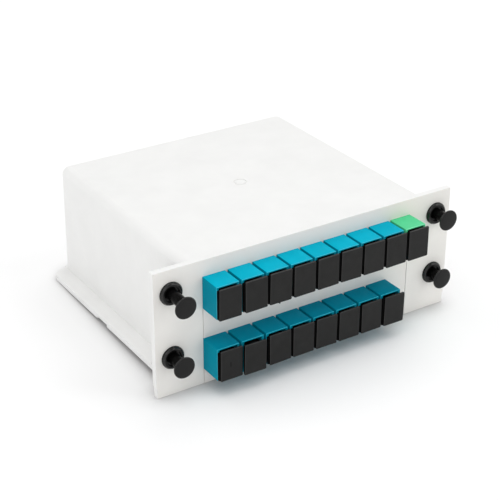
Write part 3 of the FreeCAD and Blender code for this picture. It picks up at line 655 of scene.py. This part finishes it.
# Radius and depth behind the grommet's front, from the bore to the dish's lip and from there to the rim
DISH_PROFILE = [(2.23, 1.1), (2.83, 1.0), (2.95, 0.85), (2.95, 0.14)]
FLANGE_PROFILE = [(3.72, 0.03), (3.94, 0.16), (4.24, 0.62), (4.4, 0.85)]
DISH_RADIUS, DISH_LIP, LIP_STEPS = 2.95 * MM, 0.14 * MM, 3
GROMMET_BORE, GROMMET_FLANGE, GROMMET_HUB = 2.23 * MM, 4.4 * MM, 3.3 * MM
GROMMET_STANDS_OUT = 1.45 * MM
LEG_RADIUS, LEG_LENGTH, LEG_CHAMFER = 3.0 * MM, 6.0 * MM, 0.35 * MM
LEG_HALF_SLOT = 0.5 * MM
GROMMET_TURNS, LEG_TURNS = 56, 26
FLANGE_BEVEL_NORMAL = (-0.95, -0.3)        # Y of the normals on the flange's slopes


def grommet_mesh(name):
    """Flanged bush in each latch hole, with two slotted legs behind the panel."""
    bm = bmesh.new()
    front = PANEL_FRONT_Y - GROMMET_STANDS_OUT
    end = PANEL_BACK_Y + LEG_LENGTH
    gap = math.asin(LEG_HALF_SLOT / LEG_RADIUS)
    bush = [(radius * MM, front + depth * MM) for radius, depth in DISH_PROFILE]
    bush += arc(DISH_RADIUS + DISH_LIP, front + DISH_LIP, DISH_LIP, 180, 270, LIP_STEPS)[1:]
    bush += [(radius * MM, front + depth * MM) for radius, depth in FLANGE_PROFILE]
    bush += [(GROMMET_FLANGE, PANEL_FRONT_Y), (GROMMET_HUB, PANEL_FRONT_Y), (GROMMET_HUB, PANEL_BACK_Y),
             (GROMMET_BORE, PANEL_BACK_Y)]
    leg = [(GROMMET_BORE, PANEL_BACK_Y), (LEG_RADIUS, PANEL_BACK_Y), (LEG_RADIUS, end - LEG_CHAMFER),
           (LEG_RADIUS - LEG_CHAMFER, end), (GROMMET_BORE, end)]
    for place in LATCHES:
        x, z = middle_of("latch_plunger_" + place)
        lathe(bm, bush, x, z, GROMMET_TURNS, closed=True)
        for start in (-math.pi / 2 + gap, math.pi / 2 + gap):
            lathe(bm, leg, x, z, LEG_TURNS, start, start + math.pi - 2 * gap, closed=True)

    def index_of(face):
        # The flange's slopes take the lighter copy: a painted highlight.
        return 1 if FLANGE_BEVEL_NORMAL[0] < face.normal.y < FLANGE_BEVEL_NORMAL[1] else 0
    return mesh_from(bm, name, LATCH_SMOOTH, index_of)


grommets = new_object("latch_grommets_moulded", grommet_mesh("latch_grommets_moulded"))
finished(grommets, "latch_grommets", "housing", "latch_black", latch_collar_skin, latch_edge_highlight_skin)


# ---------------------------------------------------------------- carried-over inner pieces
INNER = {
    "adapter_retainer": (housing_skin, "housing_plastic"),
    "sleeve_holders": (holder_skin, "holder_plastic"),
    "alignment_sleeves": (zirconia_skin, "zirconia"),
    "output_connectors": (connector_skin, "connector_blue"),
    "input_connector": (green_skin, "green_plastic"),
    "connector_boots": (boot_skin, "boot_plastic"),
    "output_leads": (lead_skin, "lead_jacket"),
    "input_lead": (lead_skin, "lead_jacket"),
    "fanout_block": (fanout_skin, "fanout_plastic"),
    "fanout_cradle": (housing_skin, "housing_plastic"),
    "ribbons": (ribbon_skin, "ribbon"),
    "splitter_module": (steel_skin, "module_steel"),
}
for node, (skin, slot) in INNER.items():
    obj = NODES[node]
    obj.data.materials.clear()
    obj.data.materials.append(skin)


# ---------------------------------------------------------------- floor
FLOOR_HALF = 12.0
# Where the cover's rear edge stands, behind the panel's front and above its foot
COVER_REACH, COVER_LIFT = 98 * MM, 3.0 * MM
FOOT_FRONT = Vector((0, PANEL_BACK_Y, 0))
FOOT_REAR = Vector((0, PANEL_FRONT_Y + COVER_REACH, COVER_LIFT))
FLOOR_SHADED, FLOOR_OPEN = (0.53, 0.52, 0.52), (0.9, 0.9, 0.9)
SHADE_REACH = 8 * MM
SHADE_RANGE = (0.35, 0.95)


def make_floor():
    """The ground: the object leans back on its panel's foot and the cover's rear edge."""
    bm = bmesh.new()
    slope = (FOOT_REAR.z - FOOT_FRONT.z) / (FOOT_REAR.y - FOOT_FRONT.y)
    corners = [(-FLOOR_HALF, -FLOOR_HALF), (FLOOR_HALF, -FLOOR_HALF), (FLOOR_HALF, FLOOR_HALF),
               (-FLOOR_HALF, FLOOR_HALF)]
    bm.faces.new([bm.verts.new((x, y, (y - FOOT_FRONT.y) * slope)) for x, y in corners])
    mesh = bpy.data.meshes.new("floor")
    bm.to_mesh(mesh)
    bm.free()
    floor = new_object("floor", mesh)
    shader = Shader("studio_floor", roughness=0.7, specular=0.1)
    openness = shader.ranged(shader.sheltered(SHADE_REACH), 0.0, 1.0, SHADE_RANGE)
    shader.colour(shader.mixed(openness, FLOOR_SHADED, FLOOR_OPEN))
    floor.data.materials.append(shader.material)


make_floor()


# ---------------------------------------------------------------- light
WORLD_STRENGTH = 0.322
# Azimuth, elevation, strength and angular width of each panel of the soft light round the table;
# azimuth 0 is in front of the panel and 90 to its right
SOFT_LIGHTS = {
    "overhead": (0, 90, 0.70, 26),
    "front_low": (0, 15, 0.46, 50),
    "right_low": (60, 15, 0.72, 50),
    "right_high": (50, 49, 0.35, 26),
    "back_right_high": (120, 50, 0.73, 50),
    "back_left_low": (240, 15, 0.50, 50),
    "back_left_high": (240, 50, 0.38, 50),
    "left_low": (300, 15, 0.32, 50),
    "left_high": (300, 50, 0.49, 50),
}


def direction(azimuth, elevation):
    """Unit vector from the object towards that azimuth and elevation, in degrees."""
    a, e = math.radians(azimuth), math.radians(elevation)
    return Vector((math.sin(a) * math.cos(e), -math.cos(a) * math.cos(e), math.sin(e)))


world = bpy.data.worlds.new("studio")
bpy.context.scene.world = world
world.use_nodes = True
world.node_tree.nodes["Background"].inputs["Color"].default_value = (1, 1, 1, 1)
world.node_tree.nodes["Background"].inputs["Strength"].default_value = WORLD_STRENGTH

for name, (azimuth, elevation, strength, width) in SOFT_LIGHTS.items():
    light = bpy.data.lights.new(name, "SUN")
    light.energy = strength
    light.angle = math.radians(width)
    lamp = new_object(name, light)
    lamp.rotation_mode = "QUATERNION"
    lamp.rotation_quaternion = (-direction(azimuth, elevation)).to_track_quat("-Z", "Y")


# ---------------------------------------------------------------- camera
CAMERA_PLACE = Vector((-0.24941, -0.39113, 0.26390))
CAMERA_AZIMUTH, CAMERA_ELEVATION, CAMERA_ROLL = -32.746, 27.544, 0.1
FOCAL_LENGTH, SENSOR_WIDTH = 95.83, 36.0
CLIP_START, CLIP_END = 0.01, 40.0

camera = new_object("camera", bpy.data.cameras.new("camera"))
camera.location = CAMERA_PLACE
camera.rotation_mode = "QUATERNION"
aim = (-direction(CAMERA_AZIMUTH, CAMERA_ELEVATION)).to_track_quat("-Z", "Y")
camera.rotation_quaternion = aim @ Matrix.Rotation(math.radians(CAMERA_ROLL), 3, "Z").to_quaternion()
camera.data.lens = FOCAL_LENGTH
camera.data.sensor_width = SENSOR_WIDTH
camera.data.clip_start = CLIP_START
camera.data.clip_end = CLIP_END
bpy.context.scene.camera = camera
bpy.context.scene.view_settings.view_transform = "Standard"
